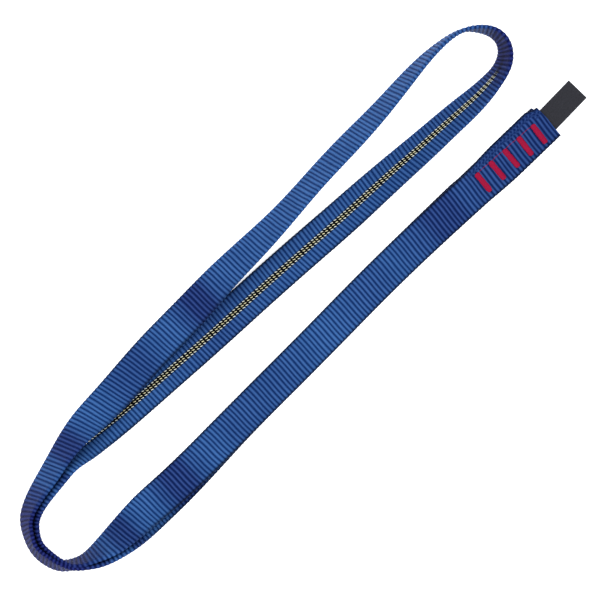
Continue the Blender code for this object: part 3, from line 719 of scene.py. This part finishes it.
def grain(size):
    """A rice grain: half axes times cos t along, and sin(t)^0.7 times cos and sin of the angle round it."""
    t = np.linspace(GRAIN_END, math.pi - GRAIN_END, GRAIN_ROWS)[:, None]
    angle = np.arange(GRAIN_RING) * 2 * math.pi / GRAIN_RING
    length, width, height = size
    radius = np.sin(t) ** 0.7
    parts = (np.cos(t) * length / 2, radius * np.cos(angle) * width / 2, radius * np.sin(angle) * height)
    return np.stack(np.broadcast_arrays(*parts), axis=-1).reshape(-1, 3)


def floats(rib, across, size, below_crest):
    """One grain's points at each rib and place across, aslant, because the yarn steps sideways under the ribs."""
    rib, across = (values.ravel() for values in np.meshgrid(rib, across, indexing="ij"))
    place = rib * RIB_PITCH + rib_offset(rib, across / (WEBBING_WIDTH / 2))
    across = across + tracer_drift(place)
    sunk = tracer_sunk(np.interp(place, run, frame_table[:, 0]))
    place, across, sunk = place[sunk < 1], across[sunk < 1], sunk[sunk < 1]
    middle, ahead, way_across, way_inner = (values[:, None] for values in frames_at(place))
    x, y, z = np.moveaxis(grain(size), -1, 0)[..., None]
    y = y - FLOAT_SLANT * x
    z = z - SINK_DEPTH * sunk[:, None, None] + VALLEY_HALF_THICKNESS + RIB_HEIGHT - below_crest
    return middle + way_across * (across[:, None, None] + y) + way_inner * z + ahead * x


def tracer(name, first, last):
    """The tracer's floats over the whole ribs from first to last: pale ones on the ribs and black ones between."""
    ribs = np.arange(math.ceil(first), math.floor(last))
    lines = np.array((-1, 0, 1)) * TRACER_LINE_GAP
    groups = [floats(ribs + 0.5, lines[[0, 2]], *PALE_FLOAT), floats(ribs + 0.5, lines[[1]], *PALE_FLOAT),
              floats(ribs[1:], (lines[:-1] + lines[1:]) / 2, *BLACK_FLOAT)]
    points = np.concatenate(groups)
    obj = add_object(name, points, many_tube_faces(len(points), GRAIN_ROWS, GRAIN_RING))
    slots = np.repeat((0, 1, 2), [len(group) for group in groups])
    return obj, np.repeat(slots, len(obj.data.polygons) // len(points))


tracers = {name: tracer(name.replace("webbing", "tracer"), *span) for name, span in list(spans.items())[1:]}
print("floats:", sum(len(slots) for _, slots in tracers.values()) // len(tube_faces(GRAIN_ROWS, GRAIN_RING)))

# %% [markdown]
# Each bartack is a block of zigzag stitches so dense that it looks like satin: some 30 threads side by side, pulled
# down at the rim. They go through every layer, so a section shaped like an I, carried along the bar, makes the head
# above, the bundle of thread through the lap and the foot below.

# %% The bartacks
STITCH_PITCH = 0.00034
STITCH_ROWS = 6
STITCH_ROUNDNESS = 0.00011
STITCH_SHARPNESS = 0.6
STITCH_SLANT = 0.5
STITCH_WIDTHS = (0.82, 1.04)
LEAST_END = 0.4
HEAD_ABOVE_FACE = 0.00062
RIM_ABOVE_FACE = 0.00034
HEAD_OVERHANG = 0.0001
NECK_SHARE = 0.72
NECK_BELOW_FACE = 0.0006
NECK_FOOT = 0.0012
FOOT_RIM = 0.00045
ARCH_POINTS = 9


def lap_face(x):
    """The height of the top layer's upper face at x."""
    return LAYER_PITCH + WEBBING_THICKNESS + lift(x, SEWN_WAVE_SHARES, TOP_RISE)


def bartack(name, place, index):
    """Head, neck and foot as one closed tube along the bar. Half width = w * (1 - u^16)^(1/2) with a little
    unevenness; the head's height is an arch, 1 - (y / w)^4, with a thread's ripple along it."""
    rng = np.random.default_rng(index)
    stitches = round(BARTACK_LENGTH / STITCH_PITCH)
    along_share = np.linspace(-1, 1, stitches * STITCH_ROWS + 1)[:, None]
    stitch = (along_share + 1) / 2 * stitches
    ripple = np.abs(np.sin(math.pi * stitch)) ** STITCH_SHARPNESS
    widths = rng.uniform(*STITCH_WIDTHS, stitches + 1)
    uneven = np.interp(stitch, np.arange(stitches + 1), widths)
    half_width = BARTACK_WIDTH / 2 * np.sqrt(np.clip(1 - along_share**16, LEAST_END, 1)) * uneven
    arch = np.linspace(-1, 1, ARCH_POINTS)
    bulge = 1 - arch**4
    neck = np.full(2, NECK_SHARE)
    width_share = np.concatenate([arch, neck, -arch, -neck])
    top = lap_face(place[:1])[0]
    crown = RIM_ABOVE_FACE + (HEAD_ABOVE_FACE - RIM_ABOVE_FACE) * bulge
    neck_heights = np.array((top - NECK_BELOW_FACE, NECK_FOOT))
    high = np.concatenate([top + crown, neck_heights, FOOT_RIM * arch**4, neck_heights[::-1]])
    rounded = np.concatenate([bulge, (0, 0), -bulge, (0, 0)])
    slant = STITCH_SLANT * np.abs((stitch % 2) - 1) * STITCH_PITCH * width_share
    x = half_width * width_share
    y = along_share * (BARTACK_LENGTH / 2 + HEAD_OVERHANG) + slant * (1 - along_share**8)
    z = np.maximum(high + rounded * STITCH_ROUNDNESS * (ripple - 1), 0)
    points = np.stack([*turned(x, y, -BARTACK_LEANS_DEG[index]), z], axis=-1) + (*place, 0)
    return add_object(name, points[::-1], tube_faces(*x.shape))


tacks = [bartack("bartack_%d_stitches" % (i + 1), place, i) for i, place in enumerate(tack_places())]
print("bartack faces:", len(tacks[0].data.polygons))

# %% [markdown]
# The machine doesn't cut its thread between two bartacks: a loose jump thread runs from one's upper end to the
# next one's. A thin tube in a low bow shows it.

# %% Jump threads
THREAD_RADIUS = 0.00009
THREAD_RING = 8
THREAD_POINTS = 15
JUMP_START_SHARE = 0.46
JUMP_BOW = 0.0003
JUMP_ABOVE_FACE = 0.00012
JUMP_SAG = 0.00015


def thread_tube(points):
    """A round tube along a path: point + radius * (cos * side + sin * up), with its ends closed."""
    ahead = unit(np.gradient(points, axis=0))
    side = unit(np.cross(ahead, (0, 0, 1)))[:, None]
    up = np.cross(side[:, 0], ahead)[:, None]
    angle = (np.arange(THREAD_RING) * 2 * math.pi / THREAD_RING)[:, None]
    return points[:, None] + THREAD_RADIUS * (np.cos(angle) * side + np.sin(angle) * up)


def jump_threads():
    """From each bartack's upper end to the next one's, in a low bow."""
    share = np.linspace(0, 1, THREAD_POINTS)
    bow = np.sin(math.pi * share)
    ends = [place + turned(0, BARTACK_LENGTH * JUMP_START_SHARE, -lean)
            for place, lean in zip(tack_places(), BARTACK_LEANS_DEG)]
    tubes = []
    for start, end in zip(ends, ends[1:]):
        x, y = start[:, None] + (end - start)[:, None] * share
        height = lap_face(x) + JUMP_ABOVE_FACE - JUMP_SAG * bow
        tubes.append(thread_tube(np.column_stack([x, y + JUMP_BOW * bow, height])))
    return add_object("jump_threads", np.array(tubes), many_tube_faces(len(tubes), THREAD_POINTS, THREAD_RING))


jumps = jump_threads()

# %% [markdown]
# The label is a narrow woven ribbon, folded once, with its two ends caught in the lap. So it is made as the real one
# is: a thin section carried along the lower ply, round the fold and back along the upper ply. It bends at the lap's
# edge. It is left bare.

# %% The label
LABEL_ROWS = 140
LABEL_TURN_ROWS = 9
LABEL_FACE_POINTS = 40
LABEL_RIB_PITCH = 0.00055
LABEL_RIB_HEIGHT = 0.00003
LABEL_DROOP = 0.0008
LABEL_FACE_SHARE = 0.996
RIBBON_THICKNESS = 0.00018
PLY_PITCH = LABEL_THICKNESS - RIBBON_THICKNESS


def ribbon_line():
    """The folded ribbon's middle line, x and z, with its outer face's way out: straight, a half circle whose radius
    is half the plies' pitch, and straight back."""
    turn = PLY_PITCH / 2
    fold = LABEL_SHOWN - LABEL_HINGE - turn - RIBBON_THICKNESS / 2
    ply = np.linspace(-LABEL_ROOT - LABEL_HINGE + LAYER_GAP, fold, LABEL_ROWS)
    bend = np.linspace(-math.pi / 2, math.pi / 2, LABEL_TURN_ROWS)[1:-1]
    angle = np.concatenate([ply * 0 - math.pi / 2, bend, ply * 0 + math.pi / 2])
    x = np.concatenate([ply, fold + turn * np.cos(bend), ply[::-1]])
    return x, turn * np.sin(angle), np.cos(angle), np.sin(angle)


def woven_label():
    """Every point is the middle line + out * h, carried across the width: h is half the thickness, less the hollows
    of fine ribs, on the outer face, minus half on the inner face and 0 at the edges."""
    pivot = (END_X + LABEL_HINGE, lap_middle_y(), LAP_LIFT + 2 * LAYER_PITCH + LABEL_THICKNESS / 2)
    x, z, out_x, out_z = (values[:, None] for values in ribbon_line())
    face = np.linspace(-LABEL_FACE_SHARE, LABEL_FACE_SHARE, LABEL_FACE_POINTS)
    across = np.concatenate([(-1,), face, (1,), -face])
    side = np.repeat((0, 1, 0, -1), (1, LABEL_FACE_POINTS, 1, LABEL_FACE_POINTS))
    rib = 0.5 - 0.5 * np.cos(2 * math.pi * x / LABEL_RIB_PITCH)
    h = side * RIBBON_THICKNESS / 2 - (side > 0) * LABEL_RIB_HEIGHT * rib
    x, z = x + out_x * h, z + out_z * h - LABEL_DROOP * smooth(x / LABEL_SHOWN)
    points = np.stack([*turned(x, -across * LABEL_WIDTH / 2, LABEL_YAW_DEG), z], axis=-1) + pivot
    return add_object("folded_label", points, tube_faces(*z.shape))


label = woven_label()

# %% [markdown]
# Each finish starts from what it is made of. Colours are written as hex, as on a paint chart, and one function turns
# them into the linear values that the shader works in.

# %% Colour and node helpers
def linear(hex_color):
    """sRGB hex to linear RGB: c / 12.92 below 0.04045, otherwise ((c + 0.055) / 1.055) ^ 2.4."""
    channels = np.array([int(hex_color[i : i + 2], 16) / 255 for i in (1, 3, 5)])
    return (*np.where(channels <= 0.04045, channels / 12.92, ((channels + 0.055) / 1.055) ** 2.4), 1.0)


def add_node(tree, kind, inputs=None, **settings):
    """Adds a node with its settings, and fills its inputs with values or with other nodes' outputs."""
    node = tree.nodes.new(kind)
    for key, value in settings.items():
        setattr(node, key, value)
    for key, value in (inputs or {}).items():
        if isinstance(value, bpy.types.NodeSocket):
            tree.links.new(value, node.inputs[key])
        else:
            node.inputs[key].default_value = value
    return node


def mix(tree, share, low, high):
    """A colour between two others, each a hex or an output: low where the share is 0 and high where it is 1."""
    low, high = (linear(color) if isinstance(color, str) else color for color in (low, high))
    return add_node(tree, "ShaderNodeMix", {0: share, 6: low, 7: high}, data_type="RGBA").outputs[2]


def maths(tree, operation, *values):
    """One step of arithmetic on numbers and outputs."""
    return add_node(tree, "ShaderNodeMath", dict(enumerate(values)), operation=operation).outputs[0]


def noise(tree, place, cells_per_m, detail):
    """Soft noise round one half, with so many cells a metre."""
    inputs = {"Vector": place, "Scale": cells_per_m, "Detail": detail}
    return add_node(tree, "ShaderNodeTexNoise", inputs).outputs["Fac"]


def bump(tree, height, strength, depth, **more):
    """Relief from a height, on top of other relief where that is given as Normal."""
    inputs = {"Height": height, "Strength": strength, "Distance": depth, **more}
    return add_node(tree, "ShaderNodeBump", inputs).outputs["Normal"]


def new_finish(name, roughness, ior=1.5):
    """A material, its node tree and the inputs of its Principled shader."""
    material = bpy.data.materials.new(name)
    material.use_nodes = True
    surface = material.node_tree.nodes["Principled BSDF"].inputs
    surface["Roughness"].default_value = roughness
    surface["IOR"].default_value = ior
    return material, material.node_tree, surface


# %% [markdown]
# Nylon 6.6 multifilament, woven and dyed. To the eye that gives a soft, nearly matt rib, because light goes in
# between the filaments. Shade is painted into the dye's colour: darker in the valleys between the ribs, in the slack
# bands, and along the selvedges where the strap lies flat. The warp yarns show as a fine checker: 0.3 mm apart on
# the real webbing, and 0.8 mm here so that the picture holds them.

# %% The blue nylon
TAUT_CREST = "#3C649C"
# The valleys' colour is painted shade, darker than the crests.
TAUT_SHADED_VALLEY = "#022558"
# Crest and valley where the slack is full: painted shade for the dark bands, the fold and the eye's far end.
SHADED_BAND_CREST = "#252E6C"
SHADED_BAND_VALLEY = "#04083A"
# Painted shade along the selvedges where the strap lies flat.
SELVEDGE_SHADE_COLOR = "#030616"
SELVEDGE_SHADE_DEPTH = 0.9
TRACER_BLACK = "#0A0A0C"
CLOUDS_PER_M = 90
CLOUD_VALUES = {"From Min": 0.35, "From Max": 0.65, "To Min": 0.82, "To Max": 1}
WARP_PITCH = 0.0008
WARP_RELIEF = 0.00005
FUZZ_PER_M = 1600
FUZZ_STRENGTH = 0.4
FUZZ_RELIEF = 0.0001


def blue_nylon():
    """The dye with painted shade, darker in the rib valleys, in the slack bands and along the selvedges where the strap
    lies flat; the tracer's black ground; and warp yarns and stray filaments as relief. Light goes in between the fibres
    and isn't mirrored, hence the low index."""
    material, tree, surface = new_finish("dyed_nylon_and_painted_shade", 0.55, 1.10)
    crest, slack_and_shade, selvedge_shade, ground = (add_node(tree, "ShaderNodeAttribute", attribute_name=name).outputs["Fac"]
                                      for name in ("crest", "slack_and_shade", "selvedge_shade", "tracer_ground"))
    place = add_node(tree, "ShaderNodeTexCoord").outputs["Object"]
    cloud = {"Value": noise(tree, place, CLOUDS_PER_M, 2), **CLOUD_VALUES}
    lit = maths(tree, "MULTIPLY", crest, add_node(tree, "ShaderNodeMapRange", cloud).outputs["Result"])
    # Towards the darker colours where the slack is high: painted shade.
    low = mix(tree, slack_and_shade, TAUT_SHADED_VALLEY, SHADED_BAND_VALLEY)
    high = mix(tree, slack_and_shade, TAUT_CREST, SHADED_BAND_CREST)
    # The painted selvedge shade over the dye.
    selvedge_shaded = mix(tree, maths(tree, "MULTIPLY", selvedge_shade, SELVEDGE_SHADE_DEPTH), mix(tree, lit, low, high), SELVEDGE_SHADE_COLOR)
    tree.links.new(mix(tree, ground, selvedge_shaded, TRACER_BLACK), surface["Base Color"])
    weave = add_node(tree, "ShaderNodeUVMap", uv_map="weave").outputs["UV"]
    rib, across = add_node(tree, "ShaderNodeSeparateXYZ", {"Vector": weave}).outputs[:2]
    yarn = maths(tree, "MULTIPLY", across, WEBBING_WIDTH / WARP_PITCH)
    phase = maths(tree, "MULTIPLY_ADD", maths(tree, "FLOOR", rib), 0.5, yarn)
    wave = maths(tree, "SINE", maths(tree, "MULTIPLY", phase, 2 * math.pi))
    yarns = bump(tree, wave, 1, WARP_RELIEF)
    fuzz = noise(tree, place, FUZZ_PER_M, 1)
    tree.links.new(bump(tree, fuzz, FUZZ_STRENGTH, FUZZ_RELIEF, Normal=yarns), surface["Normal"])
    return material


# %% Threads, tracer yarns and the label
# Each fibre's roughness and index, its flecks a metre, and their strength and depth. Polyester thread is satin. Woven
# polyester ribbon is matt, and its weave shows as flecks.
THREAD_FIBRE = (0.4, 1.12, 2500, 0.3, 0.0001)
RIBBON_FIBRE = (0.7, 1.25, 2200, 0.5, 0.00008)
THREAD_DEPTH = 0.62


def fibre_finish(name, dark, light, roughness, ior, flecks_per_m, strength, depth):
    """A plain finish with its fibres' flecks as tone and relief."""
    material, tree, surface = new_finish(name, roughness, ior)
    fleck = noise(tree, add_node(tree, "ShaderNodeTexCoord").outputs["Object"], flecks_per_m, 1)
    tree.links.new(mix(tree, fleck, dark, light), surface["Base Color"])
    tree.links.new(bump(tree, fleck, strength, depth), surface["Normal"])
    return material


def thread_finish(name, hex_color):
    """Twisted polyester thread: satin, and darker between its filaments."""
    dark = [channel * THREAD_DEPTH for channel in linear(hex_color)[:3]]
    return fibre_finish(name, (*dark, 1), hex_color, *THREAD_FIBRE)


# %% Putting the finishes on
nylon = blue_nylon()
crimson = thread_finish("crimson_polyester_thread", "#A0123A")
tracer_yarns = (thread_finish("pale_tracer_yarn", "#E8EEE0"), thread_finish("yellow_tracer_yarn", "#F0E8B6"),
                thread_finish("black_tracer_yarn", TRACER_BLACK))
ribbon = fibre_finish("woven_polyester_ribbon", "#16161A", "#303036", *RIBBON_FIBRE)
for piece in strip.values():
    piece.data.materials.append(nylon)
for piece, slots in tracers.values():
    for yarn in tracer_yarns:
        piece.data.materials.append(yarn)
    piece.data.polygons.foreach_set("material_index", slots.astype(np.int32))
for piece in (*tacks, jumps):
    piece.data.materials.append(crimson)
label.data.materials.append(ribbon)

# %% [markdown]
# Most pieces ride on a body. The fold's two layers and the label ride on none, and stay where they were built.

# %% Riding on the bodies
for name, _, body, node in WEBBING_PIECES:
    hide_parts(node)
    for piece in [strip[name]] + ([tracers[name][0]] if name in tracers else []):
        if body:
            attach(piece, body)
        else:
            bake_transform(piece)
for i, tack in enumerate(tacks):
    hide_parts("bartack_%d" % (i + 1))
    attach(tack, "sewn_half")
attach(jumps, "sewn_half")
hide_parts("label_root", "label_tab")
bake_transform(label)

# %% [markdown]
# The webbing was cut as one flat tube 16 mm wide, and the label's ribbon to twice the length that it has now.

# %% [markdown]
# Light and floor. The photograph is a catalogue picture: a white ground, lit almost without shadow. Two large soft
# lights face each other across the strands, the stronger one at the picture's top left. Webbing that leans towards
# it is the brightest. At the fold and at the eye's far end the webbing turns its face along the strands, and neither
# light reaches it well. A floor that glows a little, as a light table does, takes the shadows off.

# %% Floor and light
FLOOR_SIZE = 6
FLOOR_DROP = 0.0002
FLOOR_GLOW = 0.75
LIGHT_DISTANCE = 1.6
LIGHT_SIZE = 1
LIGHT_COLOR = "#FFFDF8"
# Each light's name, azimuth and elevation in degrees, and power in watts.
LIGHTS = (("key_light", 88, 64, 16.4), ("fill_light", -84, 60, 14.4))
SKY_COLOR = "#E4EEFF"
SKY_STRENGTH = 0.62


def pale_floor():
    """A large plain square just below the sling."""
    corners = np.array([(-1, -1, 0), (1, -1, 0), (1, 1, 0), (-1, 1, 0)]) * FLOOR_SIZE / 2 - (0, 0, FLOOR_DROP)
    floor = add_object("pale_floor", corners, np.array([(0, 1, 2, 3)]))
    material, _, surface = new_finish("matt_white_board", 0.9)
    surface["Base Color"].default_value = linear("#F4F4F6")
    surface["Emission Color"].default_value = linear("#FFFFFF")
    surface["Emission Strength"].default_value = FLOOR_GLOW
    floor.data.materials.append(material)


def soft_light(name, azimuth_deg, elevation_deg, power):
    """A square area light, turned so that it looks at the sling."""
    azimuth, elevation = math.radians(azimuth_deg), math.radians(elevation_deg)
    data = bpy.data.lights.new(name, "AREA")
    data.size, data.energy, data.color = LIGHT_SIZE, power, linear(LIGHT_COLOR)[:3]
    light = new_object(name, data)
    across_ground = turned(LIGHT_DISTANCE * math.cos(elevation), 0, azimuth_deg)
    light.location = (*across_ground, LIGHT_DISTANCE * math.sin(elevation))
    light.rotation_euler = (math.pi / 2 - elevation, 0, azimuth + math.pi / 2)


def studio_sky():
    """An even glow from all sides."""
    world = bpy.data.worlds.new("studio_sky")
    bpy.context.scene.world = world
    world.use_nodes = True
    glow = world.node_tree.nodes["Background"].inputs
    glow["Color"].default_value = linear(SKY_COLOR)
    glow["Strength"].default_value = SKY_STRENGTH


pale_floor()
for light in LIGHTS:
    soft_light(*light)
studio_sky()
bpy.context.scene.view_settings.view_transform = "Standard"
